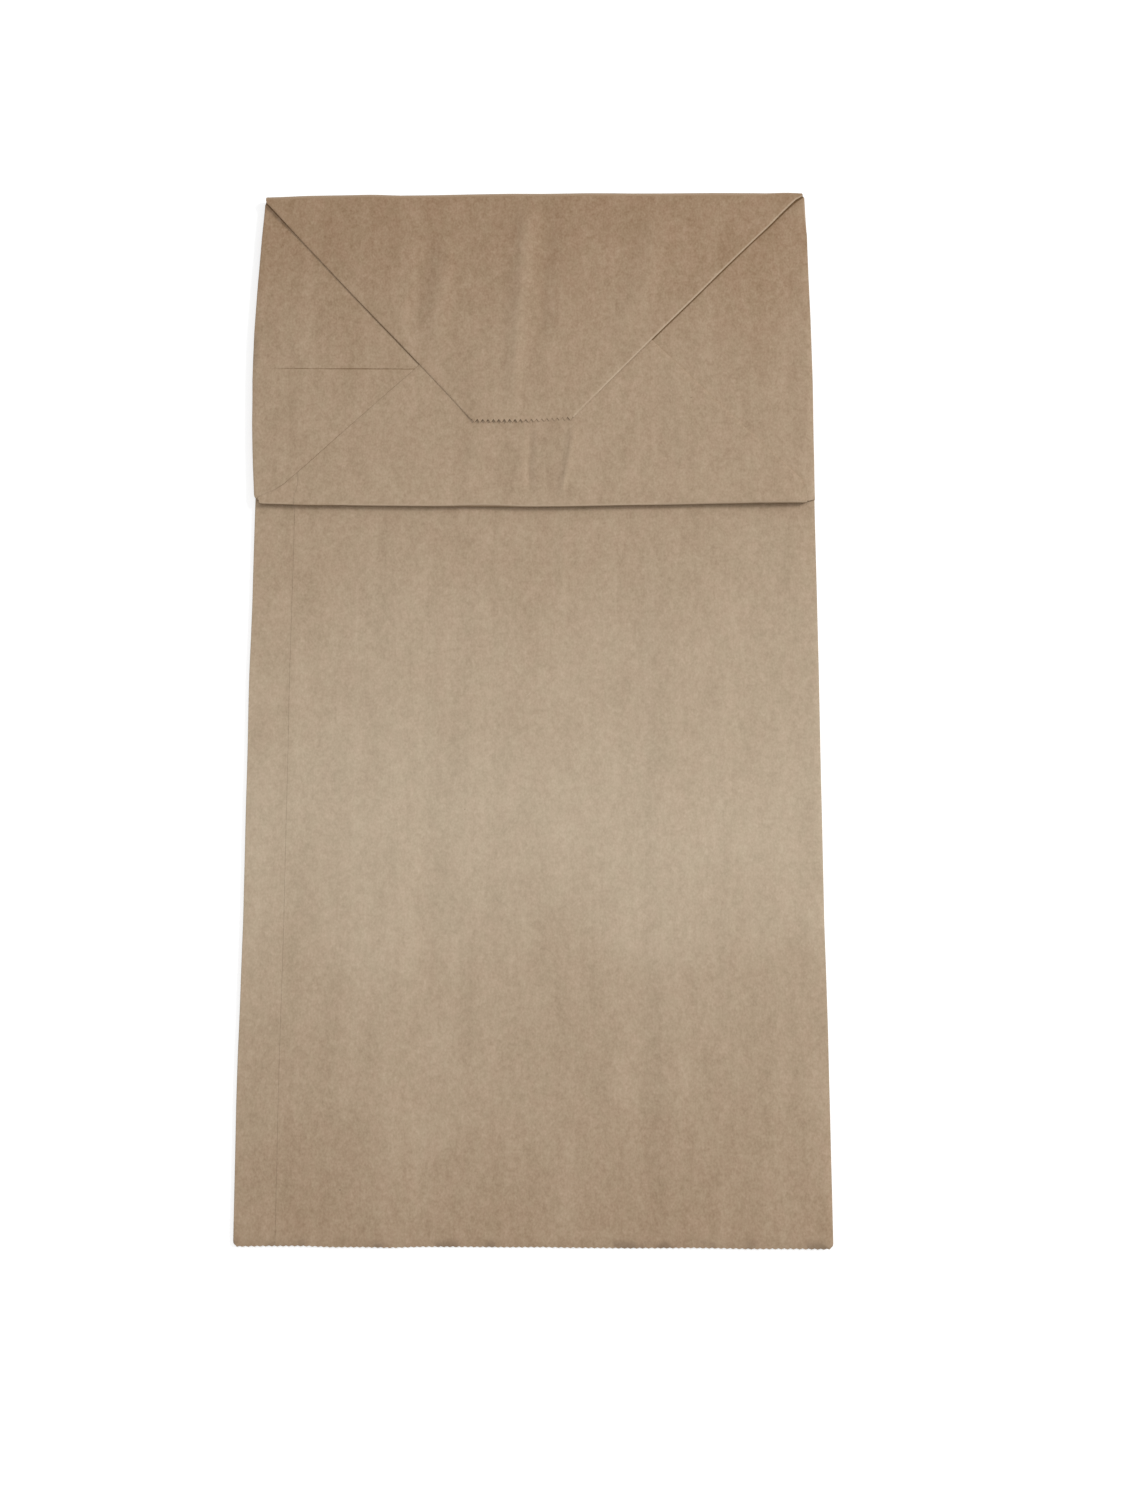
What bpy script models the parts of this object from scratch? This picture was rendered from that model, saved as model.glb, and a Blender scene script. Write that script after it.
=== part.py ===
"""A block-bottom kraft paper bag, folded flat and lying on its back panel.

The whole bag is one sheet: a tube with a gusset tucked in at each side, whose end is folded into a block
bottom that lies up over the front panel. Here the middle of the paper is laid out ply by ply, each fold is
spun from the edge of one ply up to the next one that it joins, and Solidify gives the paper its thickness.
Metres, +Z up. The mouth is towards -Y, the bottom fold towards +Y, and the back panel rests on Z = 0.
"""

import math
from collections import namedtuple

import bmesh
import bpy
from mathutils import Vector

# The folded bag
BAG_WIDTH = 0.240
BAG_LENGTH = 0.447
BASE_DEPTH = 0.139
FLAP_LENGTH = 0.102

# The paper, and how far apart the plies lie in the loose pile
PAPER_THICKNESS = 0.00012
PLY_PITCH = 0.00038

# The saw-toothed cuts at both ends of the tube
TOOTH_PITCH = 0.0024
FLAP_TOOTH_DEPTH = 0.0015
MOUTH_TOOTH_DEPTH = 0.0004

# The glued lap down the front, near its left side
SEAM_FROM_SIDE = 0.017
SEAM_LAP = 0.013
SEAM_EASE = 0.004
SEAM_STEP_RUN = 0.0001
SEAM_END_FADE = 0.002

# The pinholes that paper keeps where several folds meet in a point
PINHOLE = 0.0014

# The mitres of the bottom flaps, as angles from the fold, and the tucked right end of the lower flap
TOP_MITRE_LEFT = math.radians(47.5)
TOP_MITRE_RIGHT = math.radians(45.0)
LOWER_MITRE_LEFT = math.radians(42.0)
LOWER_MITRE_RIGHT = math.radians(45.0)
RIGHT_TUCK = 0.0035
RIGHT_TUCK_RISE = 0.0070

# The crease down the middle of each gusset, pressed flat again where it crosses the bottom
CREASE_HALF_WIDTH = 0.0005
CREASE_DEPTH = 0.0001
LEFT_CREASE_DROP = 0.0095
RIGHT_CREASE_DROP = 0.0

# How the folded bottom lies: bulged at its left end, bowed along its lower fold, with softened corners
LEFT_BULGE = 0.0030
BULGE_SKEW = 1.2
LOWER_FOLD_BOW = 0.0021
MOUTH_CORNER_RADIUS = 0.0018
LOWER_LEFT_RADIUS = 0.0034

KRAFT_COLOR = (0.366, 0.281, 0.190, 1.0)
KRAFT_ROUGHNESS = 0.85

# How many flat facets make one fold, by how many plies it spans
NARROW_FOLD_FACETS = 4
WIDE_FOLD_FACETS = 6
WIDE_FOLD_PLIES = 4

# Where the sheet is scored so that it can bend, as shares of the length beside each line
CORNER_SCORES = (0.3, 0.65, 1.0)
LOWER_LEFT_SCORES = (0.65, 1.0)
BOTTOM_SCORES_DOWN = (0.15, 0.3, 0.45, 0.6, 0.75, 0.88)
BOTTOM_SCORES_ACROSS = (-0.6, -0.3, 0.0, 0.3, 0.6)

# The plies from the floor up, each named for its panel of the sheet
PLIES = (
    "back",
    "gusset_back",
    "gusset_front",
    "front",
    "front_tuck",
    "gusset_tuck",
    "gusset_turn",
    "base_end",
    "lower_corner",
    "lower_flap",
    "top_corner",
    "top_flap",
)
LEVEL = {ply: level for level, ply in enumerate(PLIES)}

RIGHT = BAG_WIDTH / 2
MOUTH = -BAG_LENGTH / 2
TOP = BAG_LENGTH / 2
MIDDLE = TOP - BASE_DEPTH / 2
LOW = TOP - BASE_DEPTH
GUSSET = BASE_DEPTH / 2
SLANT = PINHOLE * math.sqrt(0.5)
SEAM = -RIGHT + SEAM_FROM_SIDE
WELD = 1e-6
LAPPED_PAPERS = 2

# The plies that the lap seam crosses: one strip of the sheet, from the mouth to the lower flap's end
SEAMED = ("front", "front_tuck", "lower_flap")

# What differs between the two sides; sign is -1 at the left and 1 at the right
Side = namedtuple("Side", "sign top_mitre lower_mitre tuck tuck_rise crease_drop")
LEFT_SIDE = Side(
    -1,
    TOP_MITRE_LEFT,
    LOWER_MITRE_LEFT,
    PINHOLE,
    PINHOLE * math.tan(LOWER_MITRE_LEFT),
    LEFT_CREASE_DROP,
)
RIGHT_SIDE = Side(
    1,
    TOP_MITRE_RIGHT,
    LOWER_MITRE_RIGHT,
    RIGHT_TUCK,
    RIGHT_TUCK_RISE,
    RIGHT_CREASE_DROP,
)


def clear_scene():
    for item in list(bpy.data.objects):
        bpy.data.objects.remove(item, do_unlink=True)


def height(level):
    return PAPER_THICKNESS / 2 + level * PLY_PITCH


def inside(side, inward, y):
    """A point this far in from the bag's side."""
    return (side.sign * (RIGHT - inward), y)


def saw_cut(start, end, depth):
    """The points of a saw-toothed cut from start to end, with its tips to the right of that way."""
    start, end = Vector(start), Vector(end)
    along = end - start
    teeth = max(1, round(along.length / TOOTH_PITCH))
    out = Vector((along.y, -along.x)).normalized() * depth
    points = [start]
    for tooth in range(teeth):
        points.append(start + along * (tooth + 0.5) / teeth + out)
        points.append(start + along * (tooth + 1) / teeth)
    return [tuple(point) for point in points]


def add_ply(sheet, ply, outline):
    z = height(LEVEL[ply])
    face = sheet.faces.new([sheet.verts.new((x, y, z)) for x, y in outline])
    face[sheet.faces.layers.int["seamed"]] = ply in SEAMED


def add_fold(sheet, start, end, lower_ply, upper_ply):
    """A fold along start to end that joins two plies, bulging to the left of that way."""
    faces_before = len(sheet.faces)
    low, high = height(LEVEL[lower_ply]), height(LEVEL[upper_ply])
    ends = [sheet.verts.new((*point, low)) for point in (start, end)]
    edge = sheet.edges.new(ends)
    plies_apart = LEVEL[upper_ply] - LEVEL[lower_ply]
    bmesh.ops.spin(
        sheet,
        geom=[*ends, edge],
        cent=(*start, (low + high) / 2),
        axis=Vector((end[0] - start[0], end[1] - start[1], 0)).normalized(),
        angle=math.pi,
        steps=NARROW_FOLD_FACETS if plies_apart < WIDE_FOLD_PLIES else WIDE_FOLD_FACETS,
    )
    sheet.faces.ensure_lookup_table()
    for face in sheet.faces[faces_before:]:
        face[sheet.faces.layers.int["seamed"]] = lower_ply in SEAMED and upper_ply in SEAMED


def add_side_fold(sheet, side, start, end, lower_ply, upper_ply):
    """As add_fold, with start and end given for the left side and swapped on the mirrored right."""
    if side.sign > 0:
        start, end = end, start
    add_fold(sheet, start, end, lower_ply, upper_ply)


def top_mitre_line(side):
    """Both ends of the top flap's slanting fold, its start at the corner."""
    angle = side.top_mitre
    start = inside(side, PINHOLE * math.cos(angle), TOP - PINHOLE * math.sin(angle))
    end = inside(side, FLAP_LENGTH / math.tan(angle), TOP - FLAP_LENGTH)
    return start, end


def lower_mitre_line(side):
    """Both ends of the lower flap's slanting fold, its start at the corner."""
    start = inside(side, side.tuck, LOW + side.tuck_rise)
    run = (FLAP_LENGTH - side.tuck_rise) / math.tan(side.lower_mitre)
    end = inside(side, side.tuck + run, LOW + FLAP_LENGTH)
    return start, end


def add_panels(sheet):
    """The plies that run the whole width: back, front, the front's tuck and both flaps."""
    left, right = LEFT_SIDE, RIGHT_SIDE
    mouth = saw_cut((-RIGHT, MOUTH), (RIGHT, MOUTH), MOUTH_TOOTH_DEPTH)
    add_ply(sheet, "back", mouth + [
        (RIGHT, TOP - PINHOLE),
        (RIGHT - PINHOLE, TOP),
        (-RIGHT + PINHOLE, TOP),
        (-RIGHT, TOP - PINHOLE),
    ])
    add_ply(sheet, "front", mouth + [
        (RIGHT, MIDDLE - PINHOLE),
        (RIGHT - PINHOLE, MIDDLE),
        (-RIGHT + PINHOLE, MIDDLE),
        (-RIGHT, MIDDLE - PINHOLE),
    ])
    add_ply(sheet, "front_tuck", [
        (-RIGHT + PINHOLE, MIDDLE),
        (RIGHT - PINHOLE, MIDDLE),
        (RIGHT, MIDDLE - PINHOLE),
        (RIGHT, LOW + PINHOLE),
        (RIGHT - right.tuck, LOW),
        (-RIGHT + left.tuck, LOW),
        (-RIGHT, LOW + PINHOLE),
        (-RIGHT, MIDDLE - PINHOLE),
    ])
    (left_start, left_end), (right_start, right_end) = map(lower_mitre_line, (left, right))
    add_ply(sheet, "lower_flap", [
        (-RIGHT + left.tuck, LOW),
        (RIGHT - right.tuck, LOW),
        right_start,
        *saw_cut(right_end, left_end, FLAP_TOOTH_DEPTH),
        left_start,
    ])
    (left_start, left_end), (right_start, right_end) = map(top_mitre_line, (left, right))
    add_ply(sheet, "top_flap", [
        (RIGHT - PINHOLE, TOP),
        (-RIGHT + PINHOLE, TOP),
        left_start,
        *saw_cut(left_end, right_end, FLAP_TOOTH_DEPTH),
        right_start,
    ])


def add_panel_folds(sheet):
    """The three folds that run the whole width."""
    inset = RIGHT - PINHOLE
    add_fold(sheet, (-inset, TOP), (inset, TOP), "back", "top_flap")
    add_fold(sheet, (-inset, MIDDLE), (inset, MIDDLE), "front", "front_tuck")
    low_right, low_left = (RIGHT - RIGHT_SIDE.tuck, LOW), (-RIGHT + LEFT_SIDE.tuck, LOW)
    add_fold(sheet, low_right, low_left, "front_tuck", "lower_flap")


def side_cut(side, start, end, depth):
    """A saw-toothed cut on one side's ply, with its tips outwards on both sides."""
    if side.sign > 0:
        return saw_cut(end, start, depth)[::-1]
    return saw_cut(start, end, depth)


def add_gusset(sheet, side):
    """One tucked-in gusset: its back and front halves, and the parts turned up with the bottom."""
    mouth_cut = side_cut(side, inside(side, 0, MOUTH), inside(side, GUSSET, MOUTH), MOUTH_TOOTH_DEPTH)
    by_top = inside(side, SLANT, TOP - SLANT)
    by_low = inside(side, SLANT, LOW + SLANT)
    over_apex = inside(side, GUSSET - SLANT, MIDDLE + SLANT)
    under_apex = inside(side, GUSSET - SLANT, MIDDLE - SLANT)
    before_apex = inside(side, GUSSET, MIDDLE - PINHOLE)
    side_middle = inside(side, 0, MIDDLE - PINHOLE)
    side_top = inside(side, 0, TOP - PINHOLE)
    side_low = inside(side, 0, LOW + PINHOLE)
    turn_start = inside(side, PINHOLE, MIDDLE)
    turn_end = inside(side, GUSSET - PINHOLE, MIDDLE)
    add_ply(sheet, "gusset_back", mouth_cut + [before_apex, over_apex, by_top, side_top])
    add_ply(sheet, "gusset_front", mouth_cut + [before_apex, turn_end, turn_start, side_middle])
    add_ply(sheet, "gusset_tuck", [turn_start, turn_end, under_apex, by_low, side_low, side_middle])
    add_ply(sheet, "gusset_turn", [side_top, by_top, over_apex, under_apex, by_low, side_low])
    add_side_fold(sheet, side, inside(side, 0, MOUTH), side_top, "back", "gusset_back")
    add_side_fold(sheet, side, inside(side, 0, MOUTH), side_middle, "gusset_front", "front")
    add_side_fold(sheet, side, before_apex, inside(side, GUSSET, MOUTH), "gusset_back", "gusset_front")
    add_side_fold(sheet, side, turn_start, turn_end, "gusset_front", "gusset_tuck")
    add_side_fold(sheet, side, side_low, side_middle, "front_tuck", "gusset_tuck")
    add_side_fold(sheet, side, under_apex, by_low, "gusset_tuck", "gusset_turn")
    add_side_fold(sheet, side, by_top, over_apex, "gusset_back", "gusset_turn")


def add_bottom_end(sheet, side):
    """One end of the block bottom: the gusset opened flat, and the two corners mitred over it."""
    top_start, top_end = top_mitre_line(side)
    low_start, low_end = lower_mitre_line(side)
    side_top = inside(side, 0, TOP - PINHOLE)
    side_low = inside(side, 0, LOW + PINHOLE)
    top_outer = inside(side, PINHOLE, TOP)
    top_inner = inside(side, FLAP_LENGTH, TOP)
    low_outer = inside(side, side.tuck, LOW)
    low_inner = inside(side, FLAP_LENGTH, LOW)
    add_ply(sheet, "base_end", [
        side_low,
        low_outer,
        *side_cut(side, low_inner, top_inner, FLAP_TOOTH_DEPTH),
        top_outer,
        side_top,
    ])
    add_ply(sheet, "lower_corner", [
        low_start,
        low_outer,
        *side_cut(side, low_inner, low_end, FLAP_TOOTH_DEPTH),
    ])
    add_ply(sheet, "top_corner", [
        top_outer,
        top_start,
        *side_cut(side, top_end, top_inner, FLAP_TOOTH_DEPTH),
    ])
    add_side_fold(sheet, side, side_low, side_top, "gusset_turn", "base_end")
    add_side_fold(sheet, side, low_inner, low_outer, "base_end", "lower_corner")
    add_side_fold(sheet, side, top_outer, top_inner, "base_end", "top_corner")
    add_side_fold(sheet, side, low_start, low_end, "lower_corner", "lower_flap")
    add_side_fold(sheet, side, top_end, top_start, "top_corner", "top_flap")


def score(sheet, faces, point, normal):
    """Adds a line of edges across these faces, where the sheet is to be shaped."""
    edges = {edge for face in faces for edge in face.edges}
    verts = {vert for face in faces for vert in face.verts}
    bmesh.ops.bisect_plane(
        sheet, geom=[*verts, *edges, *faces], dist=WELD / 10, plane_co=point, plane_no=normal
    )


def score_across(sheet, y, lowest_ply="back"):
    """A line of edges across the bag at this y, on the plies from this one up."""
    score(sheet, faces_from(sheet, lowest_ply), (0, y, 0), (0, 1, 0))


def score_along(sheet, x, lowest_ply="back"):
    """A line of edges along the bag at this x, on the plies from this one up."""
    score(sheet, faces_from(sheet, lowest_ply), (x, 0, 0), (1, 0, 0))


def faces_from(sheet, lowest_ply):
    floor = height(LEVEL[lowest_ply] - 0.5)
    return [face for face in sheet.faces if max(vert.co.z for vert in face.verts) > floor]


def score_sheet(sheet):
    """The lines along which the corners are rounded and the bottom is bulged and bowed."""
    for share in CORNER_SCORES:
        score_across(sheet, MOUTH + share * MOUTH_CORNER_RADIUS)
        score_along(sheet, -RIGHT + share * MOUTH_CORNER_RADIUS)
        score_along(sheet, RIGHT - share * MOUTH_CORNER_RADIUS)
        score_across(sheet, LOW + share * LOWER_LEFT_RADIUS, "front_tuck")
    for share in LOWER_LEFT_SCORES:
        score_along(sheet, -RIGHT + share * LOWER_LEFT_RADIUS, "front_tuck")
    for share in BOTTOM_SCORES_DOWN:
        score_across(sheet, TOP - share * BASE_DEPTH, "front_tuck")
    for share in BOTTOM_SCORES_ACROSS:
        score_along(sheet, share * RIGHT, "front_tuck")


def press_gusset_creases(sheet):
    """A shallow valley along the old gusset crease, across each open end of the bottom."""
    level = height(LEVEL["base_end"])
    for side in (LEFT_SIDE, RIGHT_SIDE):
        crease = MIDDLE - side.crease_drop
        for offset in (-CREASE_HALF_WIDTH, 0.0, CREASE_HALF_WIDTH):
            faces = [
                face for face in sheet.faces
                if all(abs(vert.co.z - level) < WELD for vert in face.verts)
                and face.calc_center_median().x * side.sign > 0
            ]
            score(sheet, faces, (0, crease + offset, 0), (0, 1, 0))
        for vert in sheet.verts:
            on_crease = abs(vert.co.y - crease) < WELD and vert.co.x * side.sign > 0
            if on_crease and abs(vert.co.z - level) < WELD and abs(vert.co.x) < RIGHT - WELD:
                vert.co.z -= CREASE_DEPTH


def seam_shape(across):
    """The lap this far in from its free edge: how many papers thick, and the lift of its middle."""
    upper_begins, under_ends, level_again = (
        min(1.0, max(0.0, distance / run))
        for distance, run in (
            (across, SEAM_STEP_RUN),
            (across - SEAM_LAP, SEAM_STEP_RUN),
            (across - SEAM_LAP - SEAM_STEP_RUN, SEAM_EASE),
        )
    )
    thickness = 1 + upper_begins - under_ends
    return thickness, PAPER_THICKNESS * ((upper_begins + under_ends) / 2 - level_again)


def lap_seam(sheet):
    """The glued lap: the upper paper steps up over the under one, which ends further in.

    It sets how thick each point of the sheet is, and returns how far each point of the lap is to move.
    """
    seamed = sheet.faces.layers.int["seamed"]
    lap_end = SEAM + SEAM_LAP
    lines = (SEAM, SEAM + SEAM_STEP_RUN, lap_end, lap_end + SEAM_STEP_RUN, lap_end + SEAM_EASE)
    for x in lines:
        score(sheet, [face for face in sheet.faces if face[seamed]], (x, 0, 0), (1, 0, 0))
    fade_start = MIDDLE - SEAM_END_FADE
    score(sheet, [face for face in sheet.faces if face[seamed]], (0, fade_start, 0), (0, 1, 0))
    sheet.normal_update()
    papers = sheet.verts.layers.deform.verify()
    lifts = {}
    for vert in sheet.verts:
        vert[papers][0] = 1 / LAPPED_PAPERS
        in_tight_fold = vert.co.y > fade_start + WELD and vert.co.z < height(LEVEL["front_tuck"]) + WELD
        if in_tight_fold or not any(face[seamed] for face in vert.link_faces):
            continue
        thickness, lift = seam_shape(vert.co.x - SEAM)
        vert[papers][0] = thickness / LAPPED_PAPERS
        lifts[vert] = vert.normal * lift
    return lifts


def rounded(distance_x, distance_y, radius):
    """Maps distances in from a square corner to distances in from a round one of this radius."""
    u, v = 1 - distance_x / radius, 1 - distance_y / radius
    if u <= 0 or v <= 0:
        return distance_x, distance_y
    round_u = u * math.sqrt(1 - min(v, 1.0) ** 2 / 2)
    round_v = v * math.sqrt(1 - min(u, 1.0) ** 2 / 2)
    return radius * (1 - round_u), radius * (1 - round_v)


def round_corner(point, sign, corner_y, inward, radius):
    """Moves a point near one corner of the outline; inward is 1 where the bag lies towards +Y."""
    distance_x, distance_y = rounded(
        RIGHT - sign * point.x, (point.y - corner_y) * inward, radius
    )
    point.x = sign * (RIGHT - distance_x)
    point.y = corner_y + distance_y * inward


def settle(point):
    """Where a point of the sharp-folded sheet ends up on the bag as it lies."""
    level = (point.z - height(0)) / PLY_PITCH
    in_bottom = min(1.0, max(0.0, level - LEVEL["front"]))
    for sign in (-1, 1):
        round_corner(point, sign, MOUTH, 1, MOUTH_CORNER_RADIUS)
    if in_bottom == 1.0:
        round_corner(point, -1, LOW, 1, LOWER_LEFT_RADIUS)
    down = (TOP - point.y) / BASE_DEPTH
    inward = (RIGHT + point.x) / GUSSET
    if 0 < down < 1 and inward < 1:
        bulge = LEFT_BULGE * math.sin(math.pi * down**BULGE_SKEW)
        point.x -= bulge * min(1.0, 1 - inward) ** 2 * in_bottom
    up = max(0.0, point.y - LOW) / GUSSET
    if up < 1:
        point.y -= LOWER_FOLD_BOW * (1 - (point.x / RIGHT) ** 2) * (1 - up) ** 2 * in_bottom


def face_outwards(sheet):
    """Turns every face so that it looks out of the paper's outer side, which is up on the top flap."""
    bmesh.ops.recalc_face_normals(sheet, faces=sheet.faces)
    highest = max(sheet.faces, key=lambda face: min(vert.co.z for vert in face.verts))
    if highest.normal.z < 0:
        bmesh.ops.reverse_faces(sheet, faces=sheet.faces)


def centre_outline(sheet):
    """Puts the middle of the bag's outline over the origin."""
    for axis in (0, 1):
        places = [vert.co[axis] for vert in sheet.verts]
        middle = (min(places) + max(places)) / 2
        for vert in sheet.verts:
            vert.co[axis] -= middle


def kraft_material():
    kraft = bpy.data.materials.new("kraft_paper")
    kraft.use_nodes = True
    shader = kraft.node_tree.nodes["Principled BSDF"]
    shader.inputs["Base Color"].default_value = KRAFT_COLOR
    shader.inputs["Roughness"].default_value = KRAFT_ROUGHNESS
    shader.inputs["Metallic"].default_value = 0.0
    kraft.diffuse_color = KRAFT_COLOR
    return kraft


def make_bag():
    sheet = bmesh.new()
    sheet.faces.layers.int.new("seamed")
    add_panels(sheet)
    add_panel_folds(sheet)
    for side in (LEFT_SIDE, RIGHT_SIDE):
        add_gusset(sheet, side)
        add_bottom_end(sheet, side)
    bmesh.ops.remove_doubles(sheet, verts=sheet.verts, dist=WELD)
    press_gusset_creases(sheet)
    score_sheet(sheet)
    face_outwards(sheet)
    lifts = lap_seam(sheet)
    for vert in sheet.verts:
        settle(vert.co)
    for vert, lift in lifts.items():
        vert.co += lift
    centre_outline(sheet)
    mesh = bpy.data.meshes.new("paper_bag")
    sheet.to_mesh(mesh)
    sheet.free()
    mesh.materials.append(kraft_material())
    bag = bpy.data.objects.new("paper_bag", mesh)
    bpy.context.scene.collection.objects.link(bag)
    papers = bag.vertex_groups.new(name="papers")
    paper = bag.modifiers.new("paper", "SOLIDIFY")
    paper.thickness = PAPER_THICKNESS * LAPPED_PAPERS
    paper.vertex_group = papers.name
    paper.offset = 0.0
    paper.use_even_offset = True
    return bag


clear_scene()
make_bag()
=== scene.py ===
import math

import bpy
import numpy as np
from mathutils import Matrix, Vector, noise


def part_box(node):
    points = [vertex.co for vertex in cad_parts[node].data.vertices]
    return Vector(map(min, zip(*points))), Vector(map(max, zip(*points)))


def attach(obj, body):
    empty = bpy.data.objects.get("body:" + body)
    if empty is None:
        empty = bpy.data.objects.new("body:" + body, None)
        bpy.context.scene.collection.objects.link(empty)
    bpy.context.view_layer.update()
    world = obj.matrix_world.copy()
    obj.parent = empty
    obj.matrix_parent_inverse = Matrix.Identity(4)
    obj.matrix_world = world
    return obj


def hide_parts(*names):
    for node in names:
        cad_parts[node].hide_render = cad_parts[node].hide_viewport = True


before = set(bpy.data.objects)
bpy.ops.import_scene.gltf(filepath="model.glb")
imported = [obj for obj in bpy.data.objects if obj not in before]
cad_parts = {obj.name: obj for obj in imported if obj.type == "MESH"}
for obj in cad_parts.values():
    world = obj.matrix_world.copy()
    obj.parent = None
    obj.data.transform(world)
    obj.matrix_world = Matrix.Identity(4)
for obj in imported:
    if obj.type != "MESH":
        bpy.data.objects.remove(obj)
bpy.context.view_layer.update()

MM = 0.001
# The squares that the sheet is cut into before it is bent: where it shows, and elsewhere
GRID = 3.4
INNER_GRID = 10.0
WELD = 0.001 * MM
FLAT_ANGLE = math.radians(0.2)
SMOOTH_ANGLE = math.radians(50)

# The folded part, in millimetres; its plies are counted from 0, the back, to 11, the top flap
PAPER = 0.12
PITCH = 0.38
PLY_EDGE = 0.5 * PAPER / PITCH
MOUTH = -224.4
TOP = 222.6
LOWER_FOLD = 82.6
FLAP_END = 120.6
LEFT_SIDE = -118.5
RIGHT_SIDE = 121.5
SEAM = (-103.0, -83.0)
FRONT_PLY = 3
BASE_PLY = 7
LOWER_FLAP_PLY = 9
TOP_CORNER_PLY = 10
# The heights between which the front's faces lie, and above which the bag bottom's do
FRONT_HEIGHTS = (2.6 * PITCH, 3.8 * PITCH)
BASE_HEIGHT = 6.5 * PITCH
# The heights over which the dents of the bag bottom come in
BASE_FADE = (6.3 * PITCH, 6.9 * PITCH)

# The slanting folds of the top flap, from the corner to the flap's end
LEFT_MITRE = ((-118.5, 222.6), (-25.0, 120.6))
RIGHT_MITRE = ((121.5, 222.6), (19.5, 120.6))
# The painted shade line at the foot of each: how far beside the fold it is full, and where it ends
LEFT_DARK_LINE = (0.55, 0.8)
RIGHT_DARK_LINE = (0.85, 1.1)
# Where the sheet is cut beside each, so that it can be rounded there
LEFT_MITRE_CUTS = (-LEFT_DARK_LINE[1], -LEFT_DARK_LINE[0], 0.7, 1.6, 2.8)
RIGHT_MITRE_CUTS = (RIGHT_DARK_LINE[1], RIGHT_DARK_LINE[0], -0.35, -1.1, -1.9)
# How far the right one lies up and left of straight: (share of its length, shift)
RIGHT_MITRE_BEND = [(-0.02, 0.4), (0.0, 0.8), (0.05, 1.6), (0.1, 2.0), (0.2, 2.2), (0.3, 2.05), (0.5, 1.85),
                    (0.7, 1.75), (0.9, 1.45), (0.96, 1.35), (1.06, 0.9)]
# How each is rounded: swell sideways, lift of the flap beside it, and the flap's belly
LEFT_PUFF = (0.10, 0.0, 0.0)
RIGHT_PUFF = (0.26, 0.30, 0.04)
# The lower flap's left slanting fold, and how far it lies down and right of straight
LOWER_MITRE = ((-117.1, 83.9), (-50.0, 144.5))
LOWER_MITRE_BEND = [(0.0, 0.0), (0.06, 1.8), (0.12, 2.7), (0.3, 2.7), (0.5, 2.3), (0.8, 1.8), (1.0, 1.6),
                    (1.4, 0.0)]
# How far beside a slanting fold its bend is whole, and where it ends
BEND_REACH = (2.0, 14.0)
DIAGONAL = math.sqrt(0.5)

# The lower fold bows down by this much, and lies up from its bow: (place across the bag, shift)
LOWER_FOLD_BOW = 2.1
LOWER_FOLD_STRAY = [(-121.0, 0.1), (-95.0, 0.1), (-80.0, 0.25), (-60.0, 0.33), (-30.0, 0.4), (0.0, 0.15),
                    (15.0, 0.05), (27.0, 0.2), (39.0, 0.35), (57.0, 0.25), (72.0, 0.3), (84.0, 0.1),
                    (93.0, -0.05), (102.0, -0.05), (111.0, 0.45), (121.0, 0.75)]
LOWER_FOLD_CUTS = (80.9, 81.5, 82.1, 82.7, 83.3, 84.0, 85.0)
# Its wall is pressed square: how far up the bag it is, by what share, and over how many plies at most
WALL_REACH = (0.80, 0.95)
WALL_SHARE = 0.75
WALL_PLIES = 3.5
# Its lip stands up: everywhere by this much, coming in over these levels, and more towards the right
LIP = 0.75
LIP_LEVELS = (4.3, 8.5)
RIGHT_LIP, RIGHT_LIP_AT, RIGHT_LIP_HALF = 0.7, 104.0, 26.0
# The top fold's ends and the lower fold's right end are drawn out to square corners
TOP_CORNER_CUT = 1.4
LOWER_CORNER_CUT = 3.5
# How much of a top corner's cut stays open, and how far in from the side its pull reaches
CORNER_OPEN = 0.2
CORNER_REACH = 10.0
# The top fold's right end is raised: by how much, from where along the bag, how far in from the side
TOP_END_RAISED, TOP_END_FROM, TOP_END_REACH = 1.5, 204.0, 22.0
# The lower fold's right end is drawn down: in its corner, beside it, and how far in from the side
LOWER_CORNER_DROP, LOWER_END_DROP, LOWER_END_REACH = 0.9, 1.2, 26.0

# Pitch of the plies of the bag bottom away from its folds: (place across, pitch), left and right
LOWER_PITCH = ((-60.0, 0.10), (0.0, 0.05))
UPPER_PITCH = ((-60.0, 0.34), (40.0, 0.24))
FLAP_END_PITCH = ((-24.0, 0.26), (8.0, 0.08))
# How much tighter the upper plies lie right of the left slanting fold
LEFT_MITRE_TIGHT = 0.45
# How high the toothed end stands up: (place across, height), left and right, and one raised tooth
TEETH_LIFT = ((-14.0, 0.35), (8.0, 0.04))
RAISED_TOOTH, RAISED_TOOTH_AT, RAISED_TOOTH_HALF = 0.20, 18.5, 3.0
# How far the front sinks between the gussets, and how much the lower right corner is pressed
FRONT_SINKS = 0.62
CORNER_PRESSED = 0.62
# Waves of the whole sheet: size, stretch along the bag, seed, height
SHEET_WAVES = [(46.0, 2.2, 3.7, 0.16), (15.0, 2.6, 9.1, 0.07)]
# Waves that shift it in its own plane
SIDEWAYS_WAVES = 0.12
SIDEWAYS_SIZE = 30.0

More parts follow.
